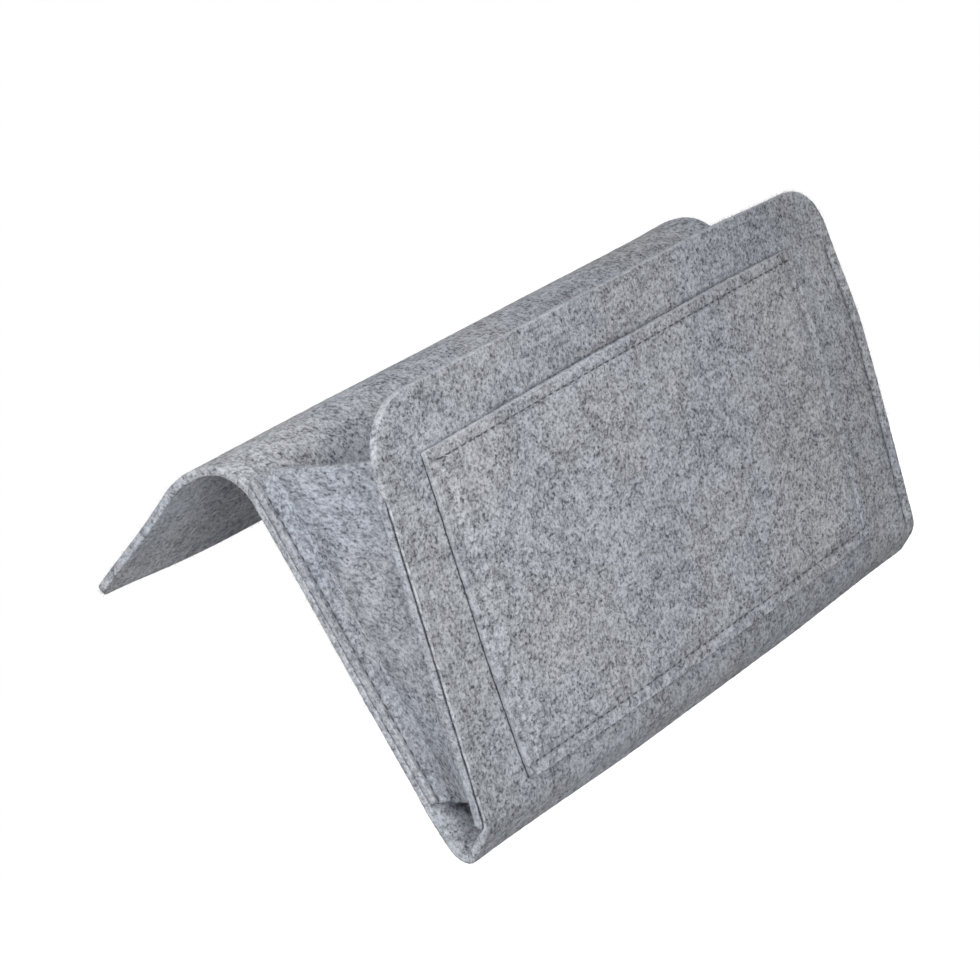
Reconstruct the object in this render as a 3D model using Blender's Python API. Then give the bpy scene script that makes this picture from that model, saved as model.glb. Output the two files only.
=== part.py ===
"""Hanging storage organizer: a felt caddy whose flap lies under a mattress and whose bag hangs beside it.

One strip of felt makes the flap, the top bend, the back panel, the bottom fold and the front panel.
Two gussets close the bag's sides, and a slip pocket is sewn on the front panel.
X runs along the width, +Y points under the mattress, +Z is up. The origin is on the flap's upper face.
"""

import math

import bmesh
import bpy
from mathutils import Vector

# Felt and width
felt = 0.0036
organizer_width = 0.320
clearance = 0.0003

# Mattress flap and top bend, from the flap's free edge to the back panel
flap_length = 0.068
flap_droop_deg = 17.5
flap_corner_radius = 0.005
crest_radius = 0.050
crest_turn_deg = 32.5
bend_radius = 0.020

# Back panel and bottom fold
back_height = 0.1275
heel_sweep_radius = 0.150
heel_sweep_deg = 8.0
fold_radius = 0.0055
toe_length = 0.0088
toe_rise_deg = 28.0
toe_radius = 0.010

# Front panel
front_lean_deg = 16.5
front_height = 0.1606
front_corner_radius = 0.030

# Slip pocket on the front panel
pocket_left_margin = 0.0242
pocket_right_margin = 0.0388
pocket_top_margin = 0.0224
pocket_bottom_margin = 0.0042
pocket_mouth_gape = 0.003

# Gussets: a tapered web with a flange turned outward along each panel
flange_width = 0.010
gusset_bend_radius = 0.003
web_top_drop = 0.022
web_bottom_margin = 0.0086
flange_clip = 0.014
flange_tail = 0.005

# Where the two living hinges cross the strip, as shares of the arc that bends there
top_hinge_share = 0.45
fold_hinge_share = 0.75

# Fineness of the curves
arc_step_deg = 7.5
corner_steps = 8
nose_steps = 5
gusset_rows = 10
gusset_bend_steps = 4
flange_columns = 3
web_columns = 6
pocket_columns = 16
pocket_rows = 8

quarter_turn_deg = 90.0
half_width = organizer_width / 2
half_felt = felt / 2
merge_distance = clearance / 10
pocket_height = front_height - pocket_top_margin - pocket_bottom_margin
web_bottom_drop = front_height - web_bottom_margin

body_grey = (0.31, 0.31, 0.315)
pocket_grey = (0.31, 0.31, 0.31)
gusset_grey = (0.32, 0.33, 0.35)
felt_roughness = 0.95


def clear_scene():
    for old in list(bpy.data.objects):
        bpy.data.objects.remove(old, do_unlink=True)


class StripLine:
    """The strip's middle line from the side: straight runs and arcs, each in line with the one before.

    Points are (y, z), headings are degrees from +Y towards +Z, and places are distances along the line.
    """

    def __init__(self, start, heading_deg):
        self.runs = []
        self.length = 0.0
        self.point = start
        self.heading = heading_deg

    def _add(self, run_length, radius, turn_deg):
        self.runs.append((self.length, run_length, self.point, self.heading, radius, turn_deg))
        self.length += run_length
        self.point, self.heading = self.at(self.length)
        return self.length

    def straight(self, run_length):
        return self._add(run_length, 0.0, 0.0)

    def arc_to(self, radius, heading_deg):
        turn_deg = heading_deg - self.heading
        return self._add(radius * math.radians(abs(turn_deg)), radius, turn_deg)

    def at(self, distance):
        """The point and the heading at a distance along the line."""
        run = next((run for run in self.runs if distance <= run[0] + run[1]), self.runs[-1])
        first, run_length, point, heading, radius, turn_deg = run
        before = math.radians(heading)
        if not turn_deg:
            return point + (distance - first) * Vector((math.cos(before), math.sin(before))), heading
        reached = heading + turn_deg * (distance - first) / run_length
        after = math.radians(reached)
        arc = Vector((math.sin(after) - math.sin(before), math.cos(before) - math.cos(after)))
        return point + math.copysign(radius, turn_deg) * arc, reached

    def marks(self, first, last):
        """The distances from first to last at which the line needs a point."""
        places = [first, last]
        for start, run_length, _, _, _, turn_deg in self.runs:
            steps = max(1, math.ceil(abs(turn_deg) / arc_step_deg))
            places += [start + run_length * step / steps for step in range(steps + 1)]
        return [place for place in places if first <= place <= last]


def left_of(heading_deg):
    """The unit vector a quarter turn to the left of a heading."""
    angle = math.radians(heading_deg)
    return Vector((-math.sin(angle), math.cos(angle)))


def make_strip_line():
    """The strip from the flap's free edge to the front panel's top edge, and the places of its arcs."""
    heading = 2 * quarter_turn_deg - flap_droop_deg
    angle = math.radians(heading)
    under_origin = half_felt * left_of(heading)
    line = StripLine(under_origin - flap_length / 2 * Vector((math.cos(angle), math.sin(angle))), heading)
    places = {}
    line.straight(flap_length)
    places["bend_start"] = line.arc_to(crest_radius, heading + crest_turn_deg)
    places["bend_end"] = line.arc_to(bend_radius, 3 * quarter_turn_deg)
    line.straight(back_height)
    places["fold_start"] = line.arc_to(heel_sweep_radius, line.heading - heel_sweep_deg)
    places["fold_end"] = line.arc_to(fold_radius, 2 * quarter_turn_deg - toe_rise_deg)
    line.straight(toe_length)
    line.arc_to(toe_radius, quarter_turn_deg + front_lean_deg)
    places["front_end"] = line.straight(front_height)
    return line, places


def share_between(places, first, last, share):
    return places[first] + (places[last] - places[first]) * share


def felt_material(name, colour):
    material = bpy.data.materials.new(name)
    material.use_nodes = True
    shader = material.node_tree.nodes["Principled BSDF"]
    shader.inputs["Base Color"].default_value = (*colour, 1.0)
    shader.inputs["Roughness"].default_value = felt_roughness
    shader.inputs["Metallic"].default_value = 0.0
    return material


def add_hinge(name, pivot, parent):
    """An empty on a living hinge's axis, for the pieces that turn with it."""
    hinge = bpy.data.objects.new(name, None)
    bpy.context.scene.collection.objects.link(hinge)
    hinge.location = pivot
    if parent:
        hinge.parent = parent
        hinge.location = pivot - parent.matrix_world.translation
    bpy.context.view_layer.update()
    return hinge


def add_piece(name, shape, colour, hinge=None):
    """Makes the piece from its bmesh, with its origin on its hinge or at the part's origin."""
    pivot = hinge.matrix_world.translation if hinge else Vector()
    bmesh.ops.translate(shape, verts=shape.verts, vec=-pivot)
    mesh = bpy.data.meshes.new(name)
    shape.to_mesh(mesh)
    shape.free()
    mesh.materials.append(felt_material(name + "_felt", colour))
    mesh.shade_smooth()
    mesh.set_sharp_from_angle(angle=math.radians(quarter_turn_deg / 2))
    piece = bpy.data.objects.new(name, mesh)
    bpy.context.scene.collection.objects.link(piece)
    piece.parent = hinge
    return piece


def corner_half_width(from_edge, radius):
    """Half the strip's width at a distance from an edge whose two corners have this radius."""
    inside = max(0.0, radius - from_edge)
    return half_width - radius + math.sqrt(radius**2 - inside**2)


def corner_marks(radius):
    """The distances from an edge at which its rounded corners need a point."""
    angles = [math.radians(quarter_turn_deg) * step / corner_steps for step in range(corner_steps + 1)]
    return [radius * (1 - math.cos(angle)) for angle in angles]


def nose_sections(centre, direction):
    """Cross-sections of the round nose that a strip has at a living hinge, from its centre outwards."""
    sections = []
    for step in range(1, nose_steps + 1):
        angle = math.radians(quarter_turn_deg) * step / (nose_steps + 1)
        place = centre + direction * half_felt * math.sin(angle)
        sections.append((place, half_width, half_felt * math.cos(angle)))
    return sections


def strip_shape(line, sections):
    """A closed felt solid through cross-sections of (distance, half width, half thickness)."""
    shape = bmesh.new()
    rings = []
    for distance, reach, half_thickness in sorted(sections):
        point, heading = line.at(distance)
        one_face = point + half_thickness * left_of(heading)
        other_face = point - half_thickness * left_of(heading)
        corners = [(-reach, one_face), (reach, one_face), (reach, other_face), (-reach, other_face)]
        rings.append([shape.verts.new((x, face.x, face.y)) for x, face in corners])
    for ring, following in zip(rings, rings[1:]):
        for corner in range(4):
            after = (corner + 1) % 4
            shape.faces.new((ring[corner], ring[after], following[after], following[corner]))
    shape.faces.new(rings[0])
    shape.faces.new(rings[-1])
    bmesh.ops.recalc_face_normals(shape, faces=shape.faces)
    return shape


def flap_shape(line, hinge_place):
    """The mattress flap, from its free edge with rounded corners to its nose at the top hinge."""
    nose = hinge_place - half_felt - clearance / 2
    marks = sorted(set(line.marks(0.0, nose) + corner_marks(flap_corner_radius)))
    sections = [(mark, corner_half_width(mark, flap_corner_radius), half_felt) for mark in marks]
    return strip_shape(line, sections + nose_sections(nose, 1))


def back_shape(line, first_nose, last_nose):
    """The back panel, from its nose in the top bend to its nose in the bottom fold."""
    sections = [(mark, half_width, half_felt) for mark in sorted(set(line.marks(first_nose, last_nose)))]
    return strip_shape(line, nose_sections(first_nose, -1) + sections + nose_sections(last_nose, 1))


def front_shape(line, nose, end):
    """The front panel, from its nose in the bottom fold to its top edge with rounded corners."""
    marks = sorted(set(line.marks(nose, end) + [end - mark for mark in corner_marks(front_corner_radius)]))
    sections = [(mark, corner_half_width(end - mark, front_corner_radius), half_felt) for mark in marks]
    return strip_shape(line, nose_sections(nose, -1) + sections)


def add_grid(shape, columns):
    """Faces between neighbouring columns of points."""
    placed = [[shape.verts.new(point) for point in column] for column in columns]
    for column, following in zip(placed, placed[1:]):
        for row in range(len(column) - 1):
            shape.faces.new((column[row], column[row + 1], following[row + 1], following[row]))


def thicken(piece):
    """Gives a middle surface the felt's thickness, half on each side."""
    solid = piece.modifiers.new("felt_thickness", "SOLIDIFY")
    solid.thickness = felt
    solid.offset = 0.0
    solid.use_even_offset = True
    solid.use_quality_normals = True


def between(first, last, share):
    return first + (last - first) * share


def shares(steps):
    return [step / steps for step in range(steps + 1)]


class FrontPlane:
    """Places by the front panel: x along the width, drop from its top edge, depth from its middle inwards."""

    def __init__(self, line, end):
        self.line = line
        self.end = end
        self.inward = -left_of(line.at(end)[1])

    def point(self, x, drop, depth):
        side = self.line.at(self.end - drop)[0] + depth * self.inward
        return Vector((x, side.x, side.y))

    def depth_to(self, drop, y):
        """How deep the plane y lies, measured square to the front panel."""
        return (y - self.line.at(self.end - drop)[0].x) / self.inward.x


def gusset_columns(front, back_y, side):
    """The gusset's middle surface from its back flange to its front flange, column by column."""
    web_x = half_width - flange_width - half_felt
    bend_x = web_x + gusset_bend_radius
    flange_y = back_y - felt - clearance
    flange_depth = felt + clearance
    bends = [math.radians(quarter_turn_deg) * share for share in shares(gusset_bend_steps)]

    def column(x, top_depth, bottom_depth, top_drop=web_top_drop):
        top = front.point(side * x, top_drop, top_depth)
        bottom = front.point(side * x, web_bottom_drop, bottom_depth)
        return [between(top, bottom, share) for share in shares(gusset_rows)]

    def at_back(x, inset):
        y = flange_y - inset
        return column(x, front.depth_to(web_top_drop, y), front.depth_to(web_bottom_drop, y))

    columns = [at_back(between(half_width, bend_x, share), 0.0) for share in shares(flange_columns)]
    for bend in bends[1:]:
        bend_column_x = web_x + gusset_bend_radius * (1 - math.sin(bend))
        columns.append(at_back(bend_column_x, gusset_bend_radius * (1 - math.cos(bend))))
    web_front = flange_depth + gusset_bend_radius
    web_back_y = flange_y - gusset_bend_radius
    for share in shares(web_columns)[1:-1]:
        top_depth = between(front.depth_to(web_top_drop, web_back_y), web_front, share)
        bottom_depth = between(front.depth_to(web_bottom_drop, web_back_y), web_front, share)
        columns.append(column(web_x, top_depth, bottom_depth))
    for bend in reversed(bends):
        depth = flange_depth + gusset_bend_radius * (1 - math.cos(bend))
        columns.append(column(web_x + gusset_bend_radius * (1 - math.sin(bend)), depth, depth))
    for share in shares(flange_columns)[1:]:
        top_drop = web_top_drop + flange_clip * share
        columns.append(column(between(bend_x, half_width, share), flange_depth, flange_depth, top_drop))
    return columns


def gusset_shape(front, back_y, side):
    """The gusset's middle surface, with the front flange's tail below its web."""
    columns = gusset_columns(front, back_y, side)
    shape = bmesh.new()
    add_grid(shape, columns)
    tail = []
    for column in columns[-flange_columns - 1:]:
        end = front.point(column[-1].x, web_bottom_drop + flange_tail, felt + clearance)
        tail.append([column[-1], end])
    add_grid(shape, tail)
    bmesh.ops.remove_doubles(shape, verts=shape.verts, dist=merge_distance)
    bmesh.ops.recalc_face_normals(shape, faces=shape.faces)
    return shape


def pocket_shape(front):
    """The slip pocket's middle surface, flat along its three sewn edges and gaping a little at its mouth."""
    left = -half_width + pocket_left_margin
    right = half_width - pocket_right_margin
    columns = []
    for across in shares(pocket_columns):
        swell = pocket_mouth_gape * math.sin(math.radians(2 * quarter_turn_deg) * across) ** 2
        column = []
        for down in shares(pocket_rows):
            drop = pocket_top_margin + pocket_height * down
            depth = -(felt + clearance + swell * (1 - down) ** 2)
            column.append(front.point(between(left, right, across), drop, depth))
        columns.append(column)
    shape = bmesh.new()
    add_grid(shape, columns)
    bmesh.ops.recalc_face_normals(shape, faces=shape.faces)
    return shape


def on_axis(line, place):
    point = line.at(place)[0]
    return Vector((0.0, point.x, point.y))


def build_organizer():
    clear_scene()
    line, places = make_strip_line()
    top_hinge_place = share_between(places, "bend_start", "bend_end", top_hinge_share)
    fold_hinge_place = share_between(places, "fold_start", "fold_end", fold_hinge_share)
    nose_gap = half_felt + clearance / 2
    back_nose = top_hinge_place + nose_gap
    front_nose = fold_hinge_place + nose_gap
    top_bend_hinge = add_hinge("top_bend_hinge", on_axis(line, back_nose), None)
    bottom_fold_hinge = add_hinge("bottom_fold_hinge", on_axis(line, front_nose), top_bend_hinge)

    add_piece("mattress_flap", flap_shape(line, top_hinge_place), body_grey)
    back = back_shape(line, back_nose, fold_hinge_place - nose_gap)
    add_piece("back_panel", back, body_grey, top_bend_hinge)
    front_panel = front_shape(line, front_nose, places["front_end"])
    add_piece("front_panel", front_panel, body_grey, bottom_fold_hinge)

    front = FrontPlane(line, places["front_end"])
    thicken(add_piece("front_pocket", pocket_shape(front), pocket_grey, bottom_fold_hinge))
    back_y = line.at(places["bend_end"])[0].x
    for name, side in (("left_gusset", -1), ("right_gusset", 1)):
        thicken(add_piece(name, gusset_shape(front, back_y, side), gusset_grey, top_bend_hinge))


build_organizer()
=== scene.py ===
"""Looks of the hanging storage organizer, a bed-edge caddy cut and sewn from heathered grey needle felt."""

import math

import bpy
import numpy as np
from mathutils import Matrix, Vector, noise


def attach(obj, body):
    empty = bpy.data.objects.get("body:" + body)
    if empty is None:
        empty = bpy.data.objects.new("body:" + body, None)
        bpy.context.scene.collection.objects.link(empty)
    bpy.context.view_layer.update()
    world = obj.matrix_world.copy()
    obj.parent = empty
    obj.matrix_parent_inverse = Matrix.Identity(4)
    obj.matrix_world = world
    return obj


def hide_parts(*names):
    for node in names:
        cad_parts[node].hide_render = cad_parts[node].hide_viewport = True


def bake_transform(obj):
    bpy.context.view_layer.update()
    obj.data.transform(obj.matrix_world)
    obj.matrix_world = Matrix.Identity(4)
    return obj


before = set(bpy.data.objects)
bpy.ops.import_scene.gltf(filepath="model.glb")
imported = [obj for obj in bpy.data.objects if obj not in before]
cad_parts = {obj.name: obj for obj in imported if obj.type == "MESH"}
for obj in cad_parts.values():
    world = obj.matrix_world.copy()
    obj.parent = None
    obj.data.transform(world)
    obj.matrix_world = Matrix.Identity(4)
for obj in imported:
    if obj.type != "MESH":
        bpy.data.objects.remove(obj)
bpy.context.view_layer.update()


# Camera
# A long lens a metre from the caddy, a little below its bend and rolled by about thirty degrees.
# Its place and turn were fitted to the front panel, the pocket, the bottom fold and the top bend.

photo_pixels = 980
focal_pixels = 3000
camera_place = (-0.91895, -0.89755, -0.0211)
camera_right = Vector((0.591782, -0.644569, -0.484072))
camera_up = Vector((0.346641, -0.338675, 0.874729))
camera_turn = Matrix((camera_right, camera_up, camera_right.cross(camera_up))).transposed()
camera = bpy.data.objects.new("camera", bpy.data.cameras.new("camera"))
bpy.context.scene.collection.objects.link(camera)
bpy.context.scene.camera = camera
camera.data.sensor_width = 36.0
camera.data.lens = camera.data.sensor_width * focal_pixels / photo_pixels
camera.data.clip_start = 0.05
camera.matrix_world = Matrix.Translation(camera_place) @ camera_turn.to_4x4()


# Studio
# A pale floor well under the hanging caddy and a white backdrop all round, neither of which lights it.
# Soft light comes from three lamps on the left in front, one behind, and an even sky.

white = (1.0, 1.0, 1.0, 1.0)
bpy.context.scene.view_settings.view_transform = "Standard"
world = bpy.data.worlds.new("studio")
bpy.context.scene.world = world
world.use_nodes = True
sky = world.node_tree.nodes["Background"]
sky.inputs["Color"].default_value = white
sky.inputs["Strength"].default_value = 0.26


def studio_piece(name, points, faces, glow, bounce):
    """A stage surface that shows in the picture but throws no light or shadow on the caddy."""
    mesh = bpy.data.meshes.new(name)
    mesh.from_pydata(points, [], faces)
    material = bpy.data.materials.new(name)
    material.use_nodes = True
    shader = material.node_tree.nodes["Principled BSDF"]
    shader.inputs["Base Color"].default_value = (bounce, bounce, bounce, 1.0)
    shader.inputs["Roughness"].default_value = 1.0
    shader.inputs["Emission Color"].default_value = white
    shader.inputs["Emission Strength"].default_value = glow
    mesh.materials.append(material)
    piece = bpy.data.objects.new(name, mesh)
    bpy.context.scene.collection.objects.link(piece)
    piece.visible_diffuse = False
    piece.visible_glossy = False
    piece.visible_shadow = False
    return piece


def dome(radius, sides, rings, steepest):
    """Points and faces of a ball made of rings up to the steepest angle, with a flat cap at each end."""
    points = []
    for rise in np.linspace(-steepest, steepest, rings):
        for turn in np.linspace(0, 2 * math.pi, sides, endpoint=False):
            points.append((radius * math.cos(turn) * math.cos(rise), radius * math.sin(turn) * math.cos(rise),
                           radius * math.sin(rise)))
    faces = []
    for low in range(0, (rings - 1) * sides, sides):
        for side in range(sides):
            onward = (side + 1) % sides
            faces.append((low + side, low + onward, low + sides + onward, low + sides + side))
    return points, faces + [range(sides), range((rings - 1) * sides, rings * sides)]


floor_reach, floor_height = 6.0, -0.45
floor_corners = [(x * floor_reach, y * floor_reach, floor_height)
                 for x, y in ((-1, -1), (1, -1), (1, 1), (-1, 1))]
one_face = [range(4)]
studio_piece("backdrop", *dome(radius=5.0, sides=32, rings=16, steepest=1.5), glow=1.0, bounce=0.0)
studio_piece("floor", floor_corners, one_face, glow=1.0, bounce=0.7)

caddy_middle = (-0.05, -0.08, -0.08)


def soft_lamp(name, place, size, watts):
    """A round lamp turned to the middle of the caddy."""
    lamp = bpy.data.objects.new(name, bpy.data.lights.new(name, "AREA"))
    bpy.context.scene.collection.objects.link(lamp)
    lamp.data.shape = "DISK"
    lamp.data.size = size
    lamp.data.energy = watts
    lamp.location = place
    lamp.rotation_euler = (Vector(caddy_middle) - Vector(place)).to_track_quat("-Z", "Y").to_euler()
    lamp.visible_camera = False


soft_lamp("upper_left", (-0.65, -0.5, 0.6), size=0.6, watts=6.3)
soft_lamp("lower_left", (-0.9, -1.5, -0.6), size=0.7, watts=9.5)
soft_lamp("front", (-0.45, -0.95, 0.1), size=0.6, watts=2.3)
soft_lamp("behind", (-1.2, 0.8, -0.6), size=1.2, watts=12.6)


def dark_card(name, corners):
    """A black card out of the picture that keeps light off one side."""
    card = studio_piece(name, corners, one_face, glow=0.0, bounce=0.0)
    card.visible_camera = False
    card.visible_diffuse = True
    card.visible_shadow = True


dark_card("right_card", [(0.45, -1.2, -0.7), (0.45, -0.10, -0.7), (0.45, -0.10, 0.5), (0.45, -1.2, 0.5)])
dark_card("rear_card", [(-0.5, 0.35, -0.9), (0.7, 0.35, -0.9), (0.7, 0.35, 0.05), (-0.5, 0.35, 0.05)])


# Felt
# Needle felt: grey fibres of several shades matted into a sheet 3.6 mm thick, with no weave or nap.
# Every panel is cut from it, so its shader is shared. Only the tints and the cut edges' paleness differ.
# The webs' darker, bluer tint is painted shade, and the cut edges' paleness is partly painted highlight.

felt = 0.0036
dark_fibres = (0.085, 0.09, 0.105, 1)
pale_fibres_and_highlight = (0.55, 0.57, 0.62, 1.0)
crevice_shade_colour = (0.02, 0.02, 0.025, 1.0)


class Wire:
    """A shader socket that takes part in sums, so that a material's maths reads as a formula."""

    def __init__(self, tree, socket):
        self.tree = tree
        self.socket = socket

    def feed(self, socket, value):
        if isinstance(value, Wire):
            self.tree.links.new(value.socket, socket)
        else:
            socket.default_value = value

    def node(self, kind, output=0, settings=None, **inputs):
        """The output of a new node. Its inputs go by name with _ for a space, or by in_ and a number."""
        node = self.tree.nodes.new(kind)
        for name, value in (settings or {}).items():
            setattr(node, name, value)
        for name, value in inputs.items():
            key = int(name[3:]) if name.startswith("in_") else name.replace("_", " ")
            self.feed(node.inputs[key], value)
        return Wire(self.tree, node.outputs[output])

    def maths(self, operation, first, second):
        return self.node("ShaderNodeMath", settings={"operation": operation}, in_0=first, in_1=second)

    def __add__(self, other):
        return self.maths("ADD", self, other)

    def __mul__(self, other):
        return self.maths("MULTIPLY", self, other)

    def __sub__(self, other):
        return self.maths("SUBTRACT", self, other)

    def __rsub__(self, other):
        return self.maths("SUBTRACT", other, self)

    __radd__ = __add__
    __rmul__ = __mul__

    def ramp(self, low, high):
        """0 below low, 1 above high, smooth between."""
        return self.node("ShaderNodeMapRange", settings={"interpolation_type": "SMOOTHSTEP"},
                         Value=self, From_Min=low, From_Max=high)

    def mix(self, first, second):
        """A colour from first to second as this goes from 0 to 1."""
        return self.node("ShaderNodeMix", 2, {"data_type": "RGBA"}, in_0=self, in_6=first, in_7=second)


def felt_material(name, cool, warm, dark, edge):
    """Heathered felt of two greys with dark fibres in it, and a paler cut edge that is partly painted
    highlight.

    The mesh brings four attributes. They are its place on the flat sheet in metres as felt_place, how rough
    the cut edge is, together with a painted highlight, as felt_rim, the painted shade where stitches pull it
    down as felt_groove_shade, and the painted shade where another layer lies against it as
    felt_crevice_shade.
    """
    material = bpy.data.materials.new(name)
    material.use_nodes = True
    tree = material.node_tree
    shader = tree.nodes["Principled BSDF"]
    start = Wire(tree, None)
    place = start.node("ShaderNodeAttribute", 1, {"attribute_name": "felt_place"})
    fray_and_highlight = start.node("ShaderNodeAttribute", 2, {"attribute_name": "felt_rim"})
    groove_shade = start.node("ShaderNodeAttribute", 2, {"attribute_name": "felt_groove_shade"})
    crevice_shade = start.node("ShaderNodeAttribute", 2, {"attribute_name": "felt_crevice_shade"})

    def grain(scale, detail, rough, stretch=(1, 1, 1), turn=0.0, shift=0.0, bend=0.0):
        at = start.node("ShaderNodeMapping", in_0=place, Location=(shift, shift, shift),
                        Rotation=(0, 0, turn), Scale=stretch)
        return start.node("ShaderNodeTexNoise", 0, None, Vector=at, Scale=scale, Detail=detail,
                          Roughness=rough, Distortion=bend)

    zones = grain(28.0, 2.0, 0.5)
    tints = grain(17.0, 1.0, 0.5)
    mottle = grain(230.0, 2.0, 0.55, shift=3.0)
    clumps = grain(580.0, 2.0, 0.6, shift=7.0, bend=0.2)
    specks = grain(1150.0, 2.0, 0.6)
    dots = grain(700.0, 1.0, 0.5, shift=11.0)
    hairs = None
    for turn in (0.25, 1.1, 1.95, 2.75):
        strand = grain(950.0, 1.0, 0.5, (1.0, 0.3, 1.0), turn, 5.0, 0.5).ramp(0.58, 0.72)
        hairs = strand if hairs is None else start.maths("MAXIMUM", hairs, strand)

    shade = (0.30 * mottle.ramp(0.36, 0.64) + 0.40 * clumps.ramp(0.40, 0.62) + 0.24 * specks.ramp(0.40, 0.64)
             + 0.34 * dots.ramp(0.56, 0.66) + 0.10 * hairs + 0.34 * zones - 0.255)
    colour = shade.mix(tints.ramp(0.38, 0.62).mix(cool, warm), dark)
    # Paler cut edges: partly their own pale fibres, partly painted highlight.
    colour = (edge * fray_and_highlight).mix(colour, pale_fibres_and_highlight)
    # Painted shade in the stitch grooves: darker where stitches pull the felt down.
    colour = (0.45 * groove_shade).mix(colour, dark)
    # Painted shade: a thin dark line where another layer lies against the felt.
    colour = (0.88 * crevice_shade.ramp(0.1, 0.9)).mix(colour, crevice_shade_colour)
    start.feed(shader.inputs["Base Color"], colour)
    shader.inputs["Roughness"].default_value = 1.0
    shader.inputs["Specular IOR Level"].default_value = 0.15
    shader.inputs["Sheen Weight"].default_value = 0.12
    shader.inputs["Sheen Roughness"].default_value = 0.6
    height = 0.8 * specks + 1.0 * clumps + 0.8 * mottle - 0.3 * hairs
    bump = start.node("ShaderNodeBump", Strength=0.43, Distance=0.0006, Height=height)
    start.feed(shader.inputs["Normal"], bump)
    return material


def smooth(value, low, high):
    """0 below low, 1 above high, smooth between, for arrays."""
    share = np.clip((value - low) / (high - low), 0, 1)
    return share * share * (3 - 2 * share)


seam_marks = (-0.0022, -0.0014, -0.0008, 0.0, 0.0008, 0.0014, 0.0022)
seam_clear = 0.0026


def spaced(first, last, step, seams=()):
    """Places from first to last a step apart, closer together by the seams."""
    marks = list(np.linspace(first, last, max(2, round(abs(last - first) / step) + 1)))
    for seam in seams:
        marks = [mark for mark in marks if abs(mark - seam) > seam_clear]
        marks += [seam + off for off in seam_marks]
    low, high = min(first, last), max(first, last)
    kept = sorted(mark for mark in marks if low - 1e-9 <= mark <= high + 1e-9)
    return np.array(kept if first < last else kept[::-1])


def roughness(points, size, seed):
    """Smooth noise of about -1 to 1 with features of that size at each point."""
    flat = points.reshape(-1, 3) / size + seed
    return np.array([noise.noise(Vector(point)) for point in flat]).reshape(points.shape[:-1])


def meshed(name, points, faces, attributes, material):
    """A smooth mesh object whose points carry the attributes, each a column of numbers or of vectors."""
    mesh = bpy.data.meshes.new(name)
    mesh.from_pydata(points.tolist(), [], faces.tolist())
    mesh.validate()
    for attribute, values in attributes.items():
        kind, field = ("FLOAT_VECTOR", "vector") if values.ndim == 2 else ("FLOAT", "value")
        layer = mesh.attributes.new(attribute, kind, "POINT")
        layer.data.foreach_set(field, values.astype(np.float32).ravel())
    mesh.shade_smooth()
    mesh.materials.append(material)
    piece = bpy.data.objects.new(name, mesh)
    bpy.context.scene.collection.objects.link(piece)
    return piece


rim_levels = ((0.94, 0.00018), (0.6, 0.00030), (0.0, 0.00034), (-0.6, 0.00030), (-0.94, 0.00018))
edge_rounding = 0.00012
edge_fraying = 0.00032


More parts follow.
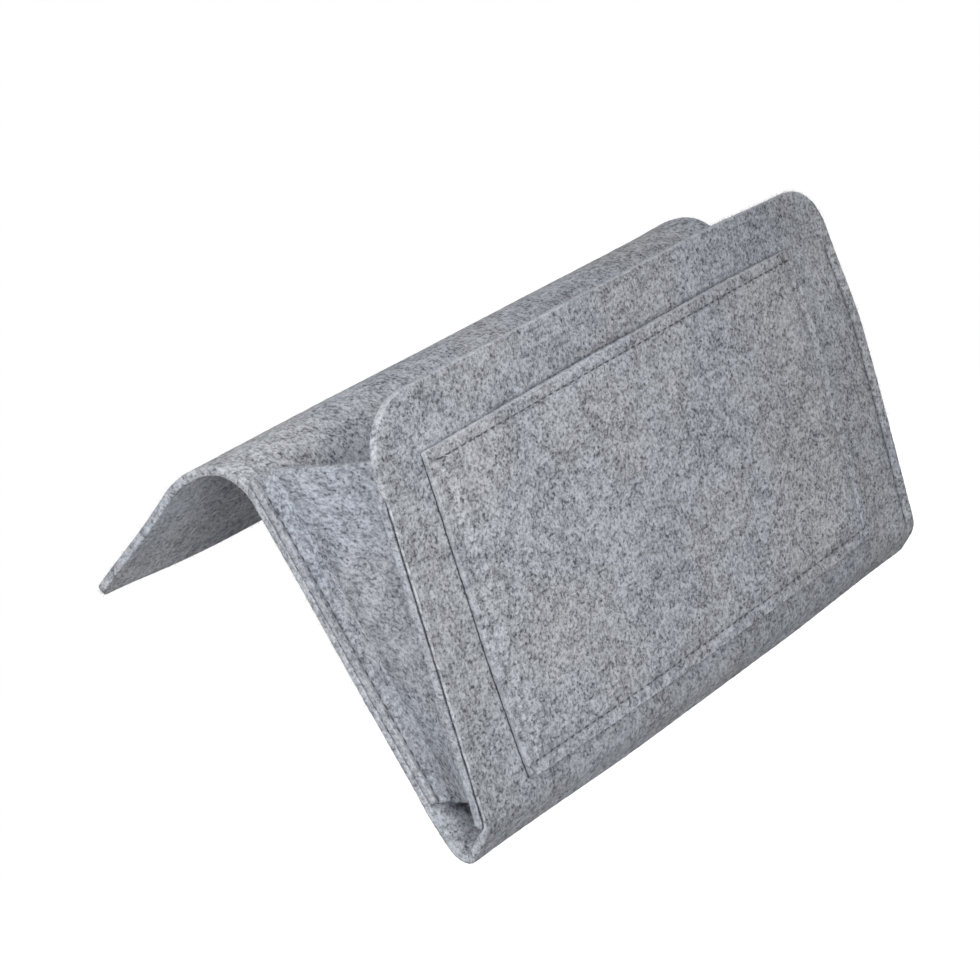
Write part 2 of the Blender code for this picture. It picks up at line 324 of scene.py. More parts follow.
def felt_sheet(name, middle, flat, material, dips, groove_shade, crevice_shade, touching, seed,
               painted_shadow=None, joined=None, fray_and_highlight=1.0):
    """A felt panel with cut edges round a grid of middle points.

    Flat is each point's place on the cut sheet, the dips say how far its two faces sink in, and the groove
    shade is painted shade where stitches pull it down. The crevice shade is painted shade along its edge, as
    strong as the edge lies tightly against another layer, on the side called touching. The painted shadow is
    the shade that a layer on top casts on the plus face, joined the row where the sheet simply goes on, and
    fray and highlight how rough the cut is together with the painted highlight on it.
    """
    rows, columns = middle.shape[:2]
    size = rows * columns
    normal = np.cross(np.gradient(middle, axis=1), np.gradient(middle, axis=0))
    normal /= np.linalg.norm(normal, axis=2, keepdims=True)
    above, below = (felt / 2 - dip for dip in dips)
    place = np.dstack([flat, np.zeros((rows, columns))])
    sides = []
    for sign, reach in ((1, above), (-1, below)):
        bumps = (0.00013 * roughness(place, 0.0035, seed + sign)
                 + 0.00010 * roughness(place, 0.0012, seed - sign))
        sides.append(middle + normal * (sign * (reach + bumps))[..., None])

    index = np.arange(size).reshape(rows, columns)
    loop = np.concatenate([index[0, :-1], index[:-1, -1], index[-1, :0:-1], index[:0:-1, 0]])
    edge = (middle + normal * ((above - below) / 2)[..., None]).reshape(-1, 3)[loop]
    edge_half = ((above + below) / 2).reshape(-1)[loop]
    edge_normal = normal.reshape(-1, 3)[loop]
    edge_place = place.reshape(-1, 3)[loop]
    outward = np.cross(np.roll(edge, -1, 0) - np.roll(edge, 1, 0), edge_normal)
    outward /= np.linalg.norm(outward, axis=1, keepdims=True)
    if (outward * (edge - middle.reshape(-1, 3).mean(0))).sum() < 0:
        outward = -outward
    uneven = 0.82 + 0.30 * roughness(edge_place, 0.006, seed + 4)
    frayed = roughness(edge_place, 0.0013, seed + 9)
    # Painted shade along the edge where it lies against another layer, uneven along its length.
    edge_crevice_shade = crevice_shade.reshape(-1)[loop] * uneven

    points = [side.reshape(-1, 3) for side in sides]
    depths = [above.reshape(-1), -below.reshape(-1)]
    places = [place.reshape(-1, 3)] * 2
    # The plus face starts with the painted shadow that a layer on top casts on it.
    shadows = [np.zeros(size) if painted_shadow is None else painted_shadow.reshape(-1).copy(), np.zeros(size)]
    shadows[0 if touching > 0 else 1][loop] = edge_crevice_shade
    rims = []
    for number, (level, reach) in enumerate(rim_levels):
        out = outward * (reach + edge_fraying * frayed)[:, None]
        points.append(edge + out + edge_normal * (edge_half * level)[:, None])
        depths.append(edge_half * level)
        places.append(edge_place)
        shadows.append(edge_crevice_shade * (level * touching > 0.9))
        rims.append(2 * size + number * len(loop) + np.arange(len(loop)))
    points[0][loop] -= edge_normal * edge_rounding
    points[1][loop] += edge_normal * edge_rounding

    corners = (index[:-1, :-1].ravel(), index[:-1, 1:].ravel(), index[1:, 1:].ravel(), index[1:, :-1].ravel())
    faces = [np.stack(corners, 1), np.stack(corners[::-1], 1) + size]
    for upper, lower in zip([loop, *rims], [*rims, loop + size]):
        faces.append(np.stack([upper, np.roll(upper, -1), np.roll(lower, -1), lower], 1)[:, ::-1])
    placed = np.concatenate(places)
    placed[:, 2] = np.concatenate(depths)
    cut = loop // columns != (-1 if joined is None else joined % rows)
    # How rough the cut is, which also sets how much painted highlight the edge gets.
    rim = np.zeros(len(placed))
    rim[2 * size:] = np.tile(np.broadcast_to(fray_and_highlight, (rows, columns)).reshape(-1)[loop] * cut, len(rim_levels))
    # Painted shade in the stitch grooves, on both faces.
    groove_shading = np.zeros(len(placed))
    groove_shading[:2 * size] = np.tile(groove_shade.ravel(), 2)
    attributes = {"felt_place": placed, "felt_rim": rim, "felt_groove_shade": groove_shading,
                  "felt_crevice_shade": np.concatenate(shadows)}
    return meshed(name, np.concatenate(points), np.concatenate(faces), attributes, material)


# Body sheet
# One long strip of felt: mattress flap, soft top bend, back panel, bottom fold and front panel.
# It is cut with rounded corners and only folded, and its two halves here meet inside the flat back panel.

# Its cut edges are paler, partly from pale fibres and partly as painted highlight.
body_felt = felt_material("body_felt", (0.565, 0.597, 0.662, 1), (0.573, 0.592, 0.625, 1),
                          dark_fibres, edge=0.40)
width = 0.320
flap_degrees = 162.5
flap_length, back_length, fold_length, front_length = 0.068, 0.1275, 0.0088, 0.1606
grid_step = 0.0017


def arc(radius, degrees):
    """A bend of the strip, as its length and its turn in degrees."""
    return radius * math.radians(abs(degrees)), degrees


top_bend = (arc(0.050, 32.5), arc(0.020, 75.0))
bottom_fold = (arc(0.150, -8.0), arc(0.0055, -110.0), (fold_length, 0.0), arc(0.010, -45.5))
runs = ((flap_length, 0.0), *top_bend, (back_length, 0.0), *bottom_fold, (front_length, 0.0))
ends = np.cumsum([0.0] + [length for length, _ in runs])
turns = np.cumsum([0.0] + [turn for _, turn in runs])
strip_length = ends[-1]
bend_last, back_last = ends[3], ends[4]
split = bend_last + 0.06
front_top = strip_length

strip_steps = np.linspace(0, strip_length, 4600)
strip_heading = np.radians(flap_degrees + np.interp(strip_steps, ends, turns))
mean_heading = (strip_heading[1:] + strip_heading[:-1]) / 2
flap_heading = math.radians(flap_degrees)
front_heading = strip_heading[-1]
start_y = -felt / 2 * math.sin(flap_heading) - flap_length / 2 * math.cos(flap_heading)
start_z = felt / 2 * math.cos(flap_heading) - flap_length / 2 * math.sin(flap_heading)
strip_y = start_y + np.concatenate([[0], np.cumsum(np.cos(mean_heading) * strip_steps[1])])
strip_z = start_z + np.concatenate([[0], np.cumsum(np.sin(mean_heading) * strip_steps[1])])
fold_y = strip_y[np.argmin(strip_z)]


def on_strip(x, along, outer=0.0):
    """Points at x and at a distance along the strip, moved by outer towards the caddy's outside."""
    x, along, outer = np.broadcast_arrays(*(np.asarray(value, float) for value in (x, along, outer)))
    heading = np.interp(along, strip_steps, strip_heading)
    y = np.interp(along, strip_steps, strip_y) - outer * np.sin(heading)
    z = np.interp(along, strip_steps, strip_z) + outer * np.cos(heading)
    return np.stack([x, y, z], -1)


def eased(value, places, amounts):
    """The amounts at the places, joined by soft curves."""
    shifts = np.linspace(-0.009, 0.009, 7)
    return sum(np.interp(value + shift, places, amounts) for shift in shifts) / len(shifts)


def settle(rest):
    """Where the points of the plainly folded shape lie once the felt has sagged and twisted a little.

    It is one smooth field, so layers that lie on each other move together.
    """
    x, y, z = rest[..., 0], rest[..., 1], rest[..., 2]
    # The top bend bulges forward and up, most at its right end.
    places = (-0.16, -0.08, 0.0, 0.06, 0.11, 0.14, 0.16)
    forward = eased(x, places, (-0.0012, 0.0002, 0.0004, 0.0005, 0.0012, 0.0016, 0.0052))
    lift = eased(x, places, (0.0014, 0.0019, 0.0021, 0.0023, 0.0024, 0.0025, 0.0031))
    bend = smooth(y, -0.108, -0.086) * smooth(z, -0.13, -0.015) * (1 - smooth(y, -0.055, 0.0))
    # The flap's end hangs lower, but its left corner stands up.
    flap_end = smooth(y, -0.045, 0.032) * (0.0018 - 0.0038 * (1 - smooth(x, -0.16, -0.06)))
    # The front panel bellies out a little, leans in at its top corners and droops at the right one.
    from_top = (y - strip_y[-1]) * -math.cos(front_heading) - (z - strip_z[-1]) * math.sin(front_heading)
    depth = (y - strip_y[-1]) * math.sin(front_heading) - (z - strip_z[-1]) * math.cos(front_heading)
    front = 1 - smooth(depth, 0.010, 0.030)
    curl = 0.0050 * smooth(x, 0.06, 0.165) * (1 - smooth(from_top, 0.015, 0.075))
    curl = curl + 0.0010 * smooth(-x, 0.09, 0.16) * (1 - smooth(from_top, 0.0, 0.04))
    curl = (curl - 0.0008 * (1 - smooth(from_top, 0.08, 0.165))) * front
    droop = 0.0032 * smooth(x, 0.06, 0.15) * (1 - smooth(from_top, 0.0, 0.05)) * front
    # The bottom fold sags in its middle and is pinched at its left end.
    sag = 0.0016 * (1 - smooth(z, -0.165, -0.11)) * (1 - smooth(np.abs(x), 0.05, 0.15))
    pinch = (1 - smooth(x, -0.162, -0.120)) * (1 - smooth(z, -0.176, -0.148))
    aside = y - fold_y
    # Slow waves run through the whole sheet, and others lift and lower the flap.
    y = (y - forward * bend + curl * math.sin(front_heading) - droop * math.cos(front_heading) - 0.5 * sag
         + 0.0007 * roughness(rest, 0.075, 2.0))
    y = y - 0.16 * pinch * aside
    z = z + 0.0012 * pinch * (1 - np.exp(-(aside / 0.003) ** 2))
    z = (z + lift * bend - flap_end - curl * math.cos(front_heading) - droop * math.sin(front_heading)
         - 0.85 * sag)
    z = z + 0.0010 * roughness(rest, 0.060, 5.0) * smooth(y, -0.06, -0.02)
    return np.stack([x, y, z], -1)


back_seam = width / 2 - 0.0024
front_seam = width / 2 - 0.0058
web_x = width / 2 - 0.010 - felt / 2
turn_radius = 0.003
pocket_left, pocket_right = -width / 2 + 0.0242, width / 2 - 0.0389
pocket_top, pocket_bottom = 0.0212, 0.1551
front_squeeze = 0.60 * felt
left_seam_shown = 0.3


def askew(x, drop):
    """Where the points of a straight pocket really lie on the panel, since it is sewn on a little askew.

    Its left edge leans to the right on its way down and its mouth hangs low at the left. Both shifts fade out
    on the panel round the pocket.
    """
    fade = 0.014
    across = np.clip((x - pocket_left) / (pocket_right - pocket_left), 0, 1)
    down = np.clip((drop - pocket_top) / (pocket_bottom - pocket_top), 0, 1)
    aside = np.interp(down, (0.0, 0.13, 0.35, 0.62, 0.87, 1.0),
                      (-0.0010, -0.0006, 0.0, 0.0010, 0.0034, 0.0048))
    lower = np.interp(across, (0.0, 0.16, 0.42, 0.60, 0.78, 1.0),
                      (0.0029, 0.0021, 0.0009, 0.0009, 0.0011, 0.0016))
    from_left = smooth(x, pocket_left - fade, pocket_left)
    from_above = smooth(drop, pocket_top - fade, pocket_top)
    to_right = 1 - smooth(x, pocket_right, pocket_right + fade)
    to_below = 1 - smooth(drop, pocket_bottom, pocket_bottom + fade)
    aside = aside * (1 - across) * from_left * from_above * to_below
    return x + aside, drop + lower * (1 - down) * from_above * from_left * to_right


def seam_dip(distance):
    """How far a seam draws a face in at a distance from its row of stitches."""
    return felt * (0.10 * np.exp(-(distance / 0.0035) ** 2) + 0.20 * np.exp(-(distance / 0.0009) ** 2))


def stitched(distance):
    """1 on a row of stitches, and 0 from about 2 mm away."""
    return np.exp(-(distance / 0.0008) ** 2)


def squeezed(x):
    """0 on the panels and 1 beyond the side seams, where two layers are pressed together."""
    return smooth(np.abs(x), web_x + turn_radius - 0.001, front_seam)


def back_sewn(along):
    """1 along the back seams, from the end of the top bend to the end of the back panel."""
    begun = smooth(along, bend_last - 0.006, bend_last - 0.002)
    return begun * (1 - smooth(along, back_last - 0.004, back_last))


def front_sewn(along):
    """1 along the front seams, from 32 mm below the front's top to where the fold begins."""
    return smooth(front_top - along, 0.028, 0.036) * smooth(along - front_top, -0.167, -0.161)


def half_at(from_edge, radius):
    """Half the strip's width at a distance from an edge with two corners of this radius."""
    inside = np.clip(radius - from_edge, 0, radius)
    return width / 2 - radius + np.sqrt(radius ** 2 - inside ** 2)


def corner_rows(radius, count):
    """Distances from an edge that divide a round corner into equal angles."""
    return [radius * (1 - math.cos(angle)) for angle in np.linspace(0, math.pi / 2, count)]


def strip_panel(name, along, corner_from, radii, squeeze, joined, seed):
    """Part of the strip between two distances, with a left and a right rounded corner at one of them.

    Squeeze is how far the front's side seams press its inner face towards the outer one. The seam shows less
    at the left, where its thread has sunk into the felt. A thin shadow round the pocket is painted on the
    panel.
    """
    fine_columns = (-front_seam, front_seam, -back_seam, back_seam, pocket_left, pocket_right)
    across = spaced(-width / 2, width / 2, grid_step, fine_columns)
    left, right = (half_at(np.abs(along - corner_from), radius)[:, None] for radius in radii)
    x = np.where(across < 0, across * left, across * right) / (width / 2)
    drop = np.repeat(front_top - along[:, None], len(across), 1)
    beside = np.maximum.reduce([pocket_left - x, x - pocket_right, drop - pocket_bottom, pocket_top - drop])
    # Painted shadow: a thin line of shade on the panel round the pocket, fainter above its mouth.
    painted_shadow = np.where(drop > pocket_top, 0.85, 0.45) * np.exp(-(beside / 0.0005) ** 2)
    x, drop = askew(x, drop)
    flat_along = front_top - drop
    back, front = back_sewn(flat_along), front_sewn(flat_along)
    front_shown = front * np.where(x > 0, 1.0, left_seam_shown)
    from_back, from_front = np.abs(np.abs(x) - back_seam), np.abs(np.abs(x) - front_seam)
    dips = (back * seam_dip(from_back) + front_shown * seam_dip(from_front), front * squeeze * squeezed(x))
    # Painted shade along the rows of stitches, strongest at the right front seam.
    groove_shade = back * stitched(from_back) + 1.3 * front_shown * stitched(from_front)
    # Painted shade along the front panel's side edges, where the flanges lie against them.
    crevice_shade = front * (np.abs(x) > front_seam)
    # Painted highlight: the cut edge along the front panel's top is paler, as if lit.
    fray_and_highlight = 0.2 + 0.8 * smooth(flat_along, front_top - 0.012, front_top - 0.003)
    return felt_sheet(name, settle(on_strip(x, flat_along)), np.dstack([x, flat_along]), body_felt, dips,
                      groove_shade, crevice_shade, touching=-1, seed=seed, painted_shadow=painted_shadow, joined=joined, fray_and_highlight=fray_and_highlight)


flap_corner = 0.005
front_corners = (0.0262, 0.0245)
corner_zone = 0.030
upper_rows = np.unique(np.concatenate([
    corner_rows(flap_corner, 6)[:-1],
    spaced(flap_corner, split, grid_step)]))
upper = strip_panel("body_upper", upper_rows, corner_from=0.0, radii=(flap_corner, flap_corner),
                    squeeze=0.0, joined=-1, seed=3.0)

lower_rows = np.unique(np.concatenate([
    spaced(split, front_top - corner_zone, grid_step, [front_top - pocket_bottom]),
    [front_top - row for row in corner_rows(corner_zone, 26)[:-1]]]))
mouth_row = front_top - pocket_top
lower_rows = lower_rows[np.abs(lower_rows - mouth_row) > 0.0014]
lower_rows = np.sort(np.append(lower_rows, mouth_row + np.array([-0.0008, 0.0, 0.0008])))
lower = strip_panel("body_lower", lower_rows, corner_from=front_top, radii=front_corners,
                    squeeze=front_squeeze, joined=0, seed=5.0)


def hang_upper(piece):
    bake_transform(piece)


def hang_lower(piece):
    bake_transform(piece)


hang_upper(upper)
hang_lower(lower)
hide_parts("mattress_flap", "back_panel")
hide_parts("front_panel")


# Side gussets
# A tapered felt web closes each side of the bag, with a flange turned outward along the back and the front.
# Each flange is sewn to the panel it lies on, 2.4 mm from the cut edges at the back and 5.8 mm at the front.

# The webs are cut from the same felt, but their darker, bluer tint is painted shade for their sideways faces.
gusset_felt = felt_material("gusset_felt", (0.480, 0.510, 0.571, 1), (0.486, 0.502, 0.546, 1),
                            (0.08, 0.09, 0.11, 1), edge=0.12)
gap = 0.0003
flange_depth = felt + gap
web_top, web_bottom = 0.022, 0.152
top_slant = 0.014
tail_drop = 0.0045
flange_tail_drop = 0.0062


def hang_gusset(piece):
    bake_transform(piece)


def gusset(name, side, seed):
    """The web and its two flanges as one bent sheet, column by column from the back flange's cut edge.

    A column is a place across the caddy, how deep behind the front panel it lies, and how far below its top.
    """
    back_y = strip_y[np.searchsorted(strip_steps, bend_last + 0.03)] - felt - gap
    downs = spaced(web_top, web_bottom, 0.0014)
    tail = smooth(downs, 0.138, web_bottom)

    def front_place(x, drop, depth):
        return on_strip(x, front_top - drop, -depth)

    def depth_to(drop, y):
        return (y - front_place(0.0, drop, 0.0)[..., 1]) / math.sin(front_heading)

    columns = []
    back_reach = spaced(width / 2, web_x + turn_radius, 0.0012, [back_seam])
    for x in back_reach:
        drops = downs + tail_drop * tail * (width / 2 - x) / (width / 2 - web_x)
        columns.append((x, depth_to(drops, back_y), drops))
    drops = downs + tail_drop * tail
    turn = [(web_x + turn_radius * (1 - math.sin(bend)), turn_radius * (1 - math.cos(bend)))
            for bend in np.linspace(0, math.pi / 2, 6)]
    for x, rise in turn[1:]:
        columns.append((x, depth_to(drops, back_y - rise), drops))
    web_front = flange_depth + turn_radius
    web_back = depth_to(drops, back_y - turn_radius)
    for share in np.linspace(0, 1, 36)[1:-1]:
        columns.append((web_x, web_back + (web_front - web_back) * share, drops))
    for x, rise in turn[::-1]:
        columns.append((x, flange_depth + rise + 0 * downs, drops))
    front_reach = spaced(web_x + turn_radius, width / 2, 0.0012, [front_seam])[1:]
    for x in front_reach:
        share = (x - web_x - turn_radius) / (width / 2 - web_x - turn_radius)
        top_drop = web_top + top_slant * share
        drops = top_drop + (downs - web_top) * (web_bottom - top_drop) / (web_bottom - web_top)
        drops = drops + tail * (tail_drop + flange_tail_drop * smooth(share, 0.0, 0.25))
        columns.append((x, flange_depth - front_squeeze * squeezed(x) * front_sewn(front_top - drops), drops))

    middle = settle(np.stack([front_place(side * x + 0 * downs, drops, depths)
                              for x, depths, drops in columns], 1))
    width_run = np.concatenate([[0], np.cumsum(np.linalg.norm(np.diff(middle, axis=1), axis=2).mean(0))])
    # It is cut half a metre aside on the felt, so its heathering isn't the body's.
    cut_from = 0.5
    flat = np.dstack([np.repeat(width_run[None, :], len(downs), 0) + cut_from,
                      np.repeat(downs[:, None], len(columns), 1)])
    dip, groove_shade, crevice_shade, swell = np.zeros((4, *middle.shape[:2]))
    for number, (x, _, _) in enumerate(columns):
        at_back, at_front = number < len(back_reach), number >= len(columns) - len(front_reach)
        if at_back or at_front:
            from_seam = abs(x - (back_seam if at_back else front_seam))
            dip[:, number] = seam_dip(from_seam)
            # Painted shade along the flange's row of stitches.
            groove_shade[:, number] = stitched(from_seam)
        if at_front:
            # Painted shade along the flange's edge, where it lies against the front panel.
            crevice_shade[:, number] = x > front_seam
            swell[:, number] = 0.0005 * smooth(x, front_seam + 0.001, width / 2 - 0.001)
    if side > 0:
        middle, flat, dip, groove_shade, crevice_shade, swell = (
            grid[:, ::-1] for grid in (middle, flat, dip, groove_shade, crevice_shade, swell))
    piece = felt_sheet(name, middle, flat, gusset_felt, (0 * dip, dip - swell), groove_shade, crevice_shade,
                       touching=1, seed=seed)
    hang_gusset(piece)
    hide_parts(name)
    piece.name = name + "_felt"
    return piece


left = gusset("left_gusset", -1, 11.0)
right = gusset("right_gusset", 1, 13.0)


# Front slip pocket
# A rectangle of felt sewn flat on the front panel along three sides, with stitches along its open top.
# Its mouth stands off the panel by up to 3 mm.

# Its cut edges are paler, partly as painted highlight.
pocket_felt = felt_material("pocket_felt", (0.620, 0.650, 0.718, 1), (0.630, 0.648, 0.680, 1),
                            dark_fibres, edge=0.28)
seam_in = 0.005
hem = 0.0043
mouth_bow = 0.0024
side_dip, seam_groove, hem_groove = 0.26, 0.10, 0.08


def bowed(x, down):
    """How far the pocket stands off the panel, most in the middle of its mouth, where down is 0."""
    across = (x - pocket_left) / (pocket_right - pocket_left)
    return mouth_bow * np.sin(math.pi * across) ** 2 * (1 - down) ** 2


pocket_seams = (pocket_left + seam_in, pocket_right - seam_in)
pocket_x = spaced(pocket_left, pocket_right, grid_step, pocket_seams)
pocket_drop = spaced(pocket_top, pocket_bottom, grid_step, (pocket_top + hem, pocket_bottom - seam_in))
grid_x, grid_drop = np.meshgrid(pocket_x, pocket_drop)
from_side = np.minimum.reduce([grid_x - pocket_left, pocket_right - grid_x, pocket_bottom - grid_drop])
from_hem = np.abs(grid_drop - pocket_top - hem)
from_seam = np.abs(from_side - seam_in)
from_base_seam = np.abs(pocket_bottom - grid_drop - seam_in)
pocket_down = (grid_drop - pocket_top) / (pocket_bottom - pocket_top)
pocket_out = felt + gap + bowed(grid_x, pocket_down)
pocket_dip = felt * (side_dip * (1 - smooth(from_side, 0.0035, 0.0125))
                     + seam_groove * stitched(from_seam) + hem_groove * stitched(from_hem))
# Painted shade along the pocket's rows of stitches.
pocket_groove_shade = np.maximum.reduce([0.3 * stitched(from_seam), 0.7 * stitched(from_hem),
                                    0.8 * stitched(from_base_seam)])
# Painted shade along the pocket's edge where it lies on the panel, fainter near its mouth.
pocket_crevice_shade = np.where(grid_drop < pocket_top + 0.004, 0.35, 1.0)
sewn_x, sewn_drop = askew(grid_x, grid_drop)
# It is cut two metres aside on the felt, so its heathering isn't the body's.
pocket_cut_from = 2
pocket_middle = settle(on_strip(sewn_x, front_top - sewn_drop, pocket_out))[:, ::-1]
pocket_flat = np.dstack([sewn_x + pocket_cut_from, sewn_drop])[:, ::-1]
pocket = felt_sheet("pocket", pocket_middle, pocket_flat, pocket_felt, (pocket_dip[:, ::-1], 0 * pocket_dip),
                    pocket_groove_shade[:, ::-1], pocket_crevice_shade[:, ::-1], touching=-1, seed=7.0)
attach(pocket, "bag_front")
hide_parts("front_pocket")


# Sewing thread
# Grey polyester thread in a straight lockstitch, drawn down into the felt on both faces of every seam.
# Each stitch dives into its needle holes, 4.5 to 4.8 mm apart.

def thread_material():
    material = bpy.data.materials.new("thread")
    material.use_nodes = True
    shader = material.node_tree.nodes["Principled BSDF"]
    start = Wire(material.node_tree, None)
    place = start.node("ShaderNodeTexCoord", 3)
    plies = start.node("ShaderNodeTexNoise", 0, None, Vector=place, Scale=2400.0, Detail=1.0)
    start.feed(shader.inputs["Base Color"], plies.mix((0.035, 0.037, 0.044, 1), (0.10, 0.104, 0.118, 1)))
    shader.inputs["Roughness"].default_value = 0.7
    return material


def maker(name, inputs):
    """An empty geometry tree with named inputs, their identifiers, their sockets in it and a first wire."""
    tree = bpy.data.node_groups.new(name, "GeometryNodeTree")
    tree.is_modifier = True
    sockets = {}
    for label, kind in {"Geometry": "Geometry", **inputs}.items():
        socket = tree.interface.new_socket(label, in_out="INPUT", socket_type="NodeSocket" + kind)
        sockets[label] = socket.identifier
    tree.interface.new_socket("Geometry", in_out="OUTPUT", socket_type="NodeSocketGeometry")
    return tree, sockets, tree.nodes.new("NodeGroupInput").outputs, Wire(tree, None)


def stitch_tree():
    """Turns the lines of a mesh into rows of stitches that lie square to its attribute called out."""
    tree, sockets, given, start = maker("stitches", {
        "Pitch": "Float", "Length": "Float", "Thickness": "Float", "Thread": "Material", "Seed": "Int"})
    length, thickness, seed = (Wire(tree, given[name]) for name in ("Length", "Thickness", "Seed"))
    line = start.node("GeometryNodeMeshToCurve", Mesh=Wire(tree, given["Geometry"]))
    line = start.node("GeometryNodeResampleCurve", settings={"mode": "LENGTH"}, Curve=line,
                      Length=Wire(tree, given["Pitch"]))
    out = start.node("GeometryNodeInputNamedAttribute", settings={"data_type": "FLOAT_VECTOR"}, Name="out")
    turn = start.node("FunctionNodeAlignRotationToVector", settings={"axis": "Z"}, Vector=out)
    tangent = start.node("GeometryNodeInputTangent")
    turn = start.node("FunctionNodeAlignRotationToVector", settings={"axis": "X", "pivot_axis": "Z"},
                      Rotation=turn, Vector=tangent)
    skew = start.node("FunctionNodeRandomValue", 0, {"data_type": "FLOAT_VECTOR"}, in_0=(-0.04, -0.04, -0.10),
                      in_1=(0.04, 0.04, 0.10), Seed=seed)
    turn = start.node("FunctionNodeRotateRotation", settings={"rotation_space": "LOCAL"},
                      Rotation=turn, Rotate_By=skew)
    first = start.node("ShaderNodeCombineXYZ", X=length * -0.5, Y=0.0, Z=thickness * -1.1)
    middle = start.node("ShaderNodeCombineXYZ", X=0.0, Y=0.0, Z=thickness * 1.1)
    last = start.node("ShaderNodeCombineXYZ", X=length * 0.5, Y=0.0, Z=thickness * -1.1)
    arch = start.node("GeometryNodeCurveQuadraticBezier", Resolution=7, Start=first, Middle=middle, End=last)
    ring = start.node("GeometryNodeCurvePrimitiveCircle", Resolution=7, Radius=thickness * 0.5)
    stitch = start.node("GeometryNodeCurveToMesh", Curve=arch, Profile_Curve=ring, Fill_Caps=True)
    stretch = start.node("FunctionNodeRandomValue", 1, {"data_type": "FLOAT"}, in_2=0.90, in_3=1.08,
                         Seed=seed + 7.0)
    size = start.node("ShaderNodeCombineXYZ", X=stretch, Y=1.0, Z=1.0)
    row = start.node("GeometryNodeInstanceOnPoints", Points=line, Instance=stitch, Rotation=turn, Scale=size)
    row = start.node("GeometryNodeRealizeInstances", Geometry=row)
    row = start.node("GeometryNodeSetMaterial", Geometry=row, Material=Wire(tree, given["Thread"]))
    start.feed(tree.nodes.new("NodeGroupOutput").inputs[0], row)
    return tree, sockets


stitches, stitch_sockets = stitch_tree()
thread = thread_material()
stitch_share = 0.78


def baked(name, mesh, tree, values):
    """The plain mesh object that a node tree makes of a mesh."""
    carrier = bpy.data.objects.new(name + "_lines", mesh)
    bpy.context.scene.collection.objects.link(carrier)
    modifier = carrier.modifiers.new("made", "NODES")
    modifier.node_group = tree
    for identifier, value in values.items():
        modifier[identifier] = value
    bpy.context.view_layer.update()
    made = bpy.data.meshes.new_from_object(carrier.evaluated_get(bpy.context.evaluated_depsgraph_get()))
    bpy.data.objects.remove(carrier, do_unlink=True)
    made.shade_smooth()
    piece = bpy.data.objects.new(name, made)
    bpy.context.scene.collection.objects.link(piece)
    return piece


def seam_row(x, along, outer, face):
    """A seam's line on one face of the felt, with the direction that looks out of that face at each point."""
    line = settle(on_strip(x, along, outer))
    above = settle(on_strip(x, along, outer + 0.001 * face))
    return line, above - line


def pocket_row(x, drop, outer, face):
    """A seam's line on the pocket, or under it on the panel, which follows how the pocket is sewn on."""
    x, drop = askew(*np.broadcast_arrays(x, drop))
    return seam_row(x, front_top - drop, outer, face)


def sew(name, rows, pitch, thick, seed, rides):
    """Rows of stitches as one mesh that rides on a body."""
    points = np.concatenate([line for line, _ in rows])
    outs = np.concatenate([out for _, out in rows])
    edges = []
    count = 0
    for line, _ in rows:
        edges += [(number, number + 1) for number in range(count, count + len(line) - 1)]
        count += len(line)
    mesh = bpy.data.meshes.new(name)
    mesh.from_pydata(points.tolist(), edges, [])
    direction = mesh.attributes.new("out", "FLOAT_VECTOR", "POINT")
    direction.data.foreach_set("vector", outs.astype(np.float32).ravel())
    values = {stitch_sockets["Pitch"]: pitch, stitch_sockets["Length"]: pitch * stitch_share,
              stitch_sockets["Thickness"]: thick, stitch_sockets["Thread"]: thread,
              stitch_sockets["Seed"]: seed}
    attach(baked(name, mesh, stitches, values), rides)


lid = felt / 2 - seam_dip(0.0) + 0.0001
sunk_lid = felt / 2 - left_seam_shown * seam_dip(0.0) - 0.0005
front_under = -(felt + gap) + front_squeeze - lid
front_along = front_top - np.linspace(0.036, 0.158, 60)
front_rows = [seam_row(-front_seam, front_along, sunk_lid, 1), seam_row(front_seam, front_along, lid, 1)]
front_rows += [seam_row(side * front_seam, front_along, front_under, -1) for side in (-1, 1)]

pocket_lid = felt / 2 + gap + felt * (1 - side_dip - seam_groove) - 0.0001
pocket_side = np.linspace(pocket_top + 0.004, pocket_bottom - seam_in, 60)
pocket_base = np.linspace(pocket_seams[0], pocket_seams[1], 80)
front_rows += [pocket_row(x, pocket_side, pocket_lid - 0.0002, 1) for x in pocket_seams]
front_rows += [pocket_row(pocket_base, pocket_bottom - seam_in, pocket_lid + 0.0002, 1)]
front_rows += [pocket_row(x, pocket_side, -felt / 2, -1) for x in pocket_seams]
front_rows += [pocket_row(pocket_base, pocket_bottom - seam_in, -felt / 2, -1)]
sew("front_seams", front_rows, pitch=0.0045, thick=0.00062, seed=3, rides="bag_front")

hem_x = np.linspace(pocket_left + 0.006, pocket_right - 0.006, 80)
# The pocket's height to the nearest 5 mm.
rounded_height = 0.135
hem_down = hem / rounded_height
hem_lid = felt / 2 + gap + bowed(hem_x, hem_down) + felt * (1 - hem_groove) + 0.0001
sew("hem_stitches", [pocket_row(hem_x, pocket_top + hem, hem_lid, 1)],
    pitch=0.0045, thick=0.00060, seed=5, rides="bag_front")

back_under = -(felt + gap) - lid
back_along = np.linspace(bend_last + 0.002, back_last, 60)
back_rows = [seam_row(side * back_seam, back_along, lid, 1) for side in (-1, 1)]
back_rows += [seam_row(side * back_seam, back_along, back_under, -1) for side in (-1, 1)]
sew("back_seams", back_rows, pitch=0.0048, thick=0.00085, seed=9, rides="bag")


# Loose fibres
# Short wool ends that stand out of the cut edges, where the knife went through the felt.
# They are thinner than a tenth of a millimetre and only soften the outlines.

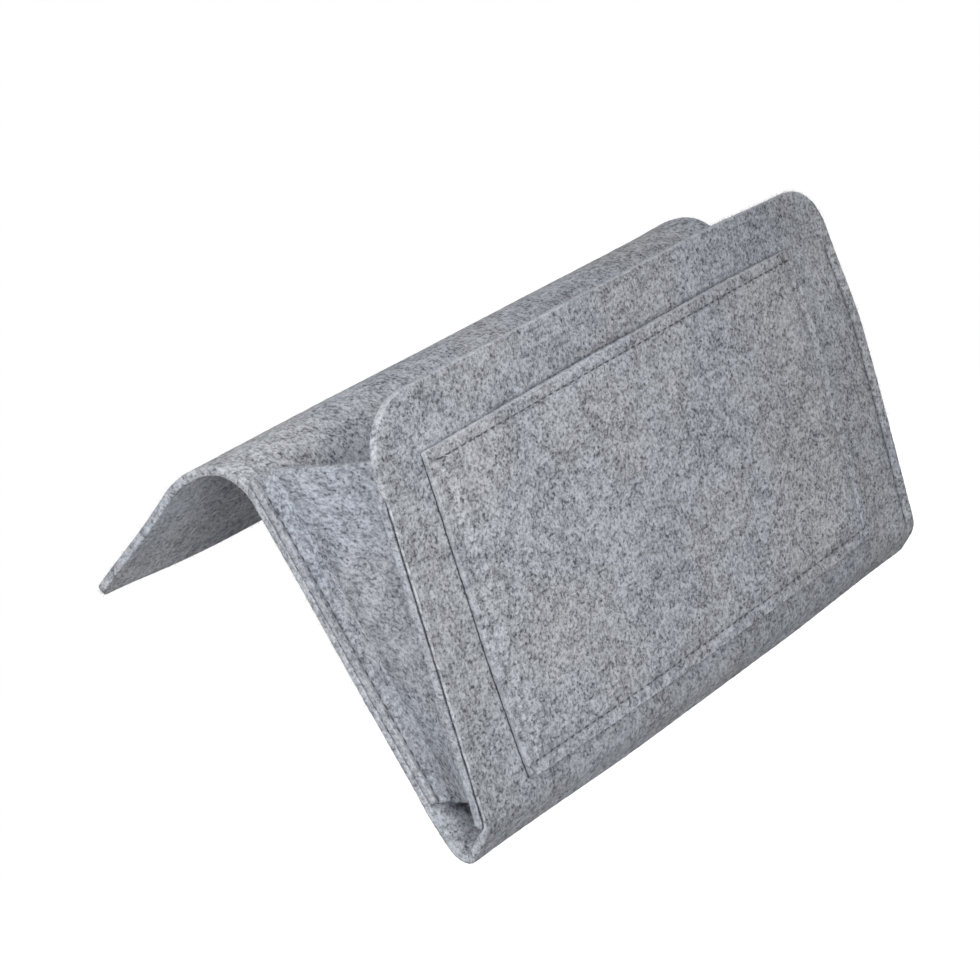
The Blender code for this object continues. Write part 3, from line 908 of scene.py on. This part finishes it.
def fibre_material():
    material = bpy.data.materials.new("loose_fibre")
    material.use_nodes = True
    shader = material.node_tree.nodes["Principled BSDF"]
    start = Wire(material.node_tree, None)
    place = start.node("ShaderNodeTexCoord", 3)
    shades = start.node("ShaderNodeTexNoise", 0, None, Vector=place, Scale=700.0, Detail=1.0).ramp(0.35, 0.65)
    start.feed(shader.inputs["Base Color"], shades.mix((0.16, 0.17, 0.19, 1), (0.62, 0.64, 0.69, 1)))
    shader.inputs["Roughness"].default_value = 0.9
    return material


def fibre_tree():
    """Grows short bent fibres out of the faces of a mesh that have a felt_rim."""
    tree, sockets, given, start = maker("fibres", {
        "Density": "Float", "Length": "Float", "Thickness": "Float", "Fibre": "Material", "Seed": "Int"})
    length, thickness, seed = (Wire(tree, given[name]) for name in ("Length", "Thickness", "Seed"))
    rim = start.node("GeometryNodeInputNamedAttribute", settings={"data_type": "FLOAT"}, Name="felt_rim")
    on_rim = start.maths("GREATER_THAN", rim, 0.15)
    roots = start.node("GeometryNodeDistributePointsOnFaces", Mesh=Wire(tree, given["Geometry"]),
                       Selection=on_rim, Density=Wire(tree, given["Density"]), Seed=seed)
    out = Wire(tree, roots.socket.node.outputs["Normal"])
    turn = start.node("FunctionNodeAlignRotationToVector", settings={"axis": "Z"}, Vector=out)
    lean = start.node("FunctionNodeRandomValue", 0, {"data_type": "FLOAT_VECTOR"}, in_0=(-0.9, -0.9, 0.0),
                      in_1=(0.9, 0.9, 6.28), Seed=seed)
    turn = start.node("FunctionNodeRotateRotation", settings={"rotation_space": "LOCAL"},
                      Rotation=turn, Rotate_By=lean)
    root = start.node("ShaderNodeCombineXYZ", X=0.0, Y=0.0, Z=length * -0.2)
    middle = start.node("ShaderNodeCombineXYZ", X=0.0, Y=0.0, Z=length * 0.6)
    tip = start.node("ShaderNodeCombineXYZ", X=length * 0.5, Y=0.0, Z=length * 0.9)
    bow = start.node("GeometryNodeCurveQuadraticBezier", Resolution=3, Start=root, Middle=middle, End=tip)
    ring = start.node("GeometryNodeCurvePrimitiveCircle", Resolution=3, Radius=thickness * 0.5)
    strand = start.node("GeometryNodeCurveToMesh", Curve=bow, Profile_Curve=ring, Fill_Caps=True)
    size = start.node("FunctionNodeRandomValue", 1, {"data_type": "FLOAT"}, in_2=0.35, in_3=1.25,
                      Seed=seed + 7.0)
    tufts = start.node("GeometryNodeInstanceOnPoints", Points=roots, Instance=strand, Rotation=turn,
                       Scale=size)
    tufts = start.node("GeometryNodeRealizeInstances", Geometry=tufts)
    tufts = start.node("GeometryNodeSetMaterial", Geometry=tufts, Material=Wire(tree, given["Fibre"]))
    start.feed(tree.nodes.new("NodeGroupOutput").inputs[0], tufts)
    return tree, sockets


fibres, fibre_sockets = fibre_tree()
fibre = fibre_material()
fibres_per_square_metre = 9.0e5
fibre_length, fibre_thickness = 0.0012, 0.00009


def fray(sheet, seed, hang):
    """Loose fibres all round a felt panel's cut edge, hung like the panel."""
    values = {fibre_sockets["Density"]: fibres_per_square_metre, fibre_sockets["Length"]: fibre_length,
              fibre_sockets["Thickness"]: fibre_thickness, fibre_sockets["Fibre"]: fibre,
              fibre_sockets["Seed"]: seed}
    hang(baked(sheet.name + "_fibres", sheet.data.copy(), fibres, values))


fray(upper, 21, hang_upper)
fray(lower, 22, hang_lower)
fray(left, 23, hang_gusset)
fray(right, 24, hang_gusset)
fray(pocket, 25, lambda piece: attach(piece, "bag_front"))
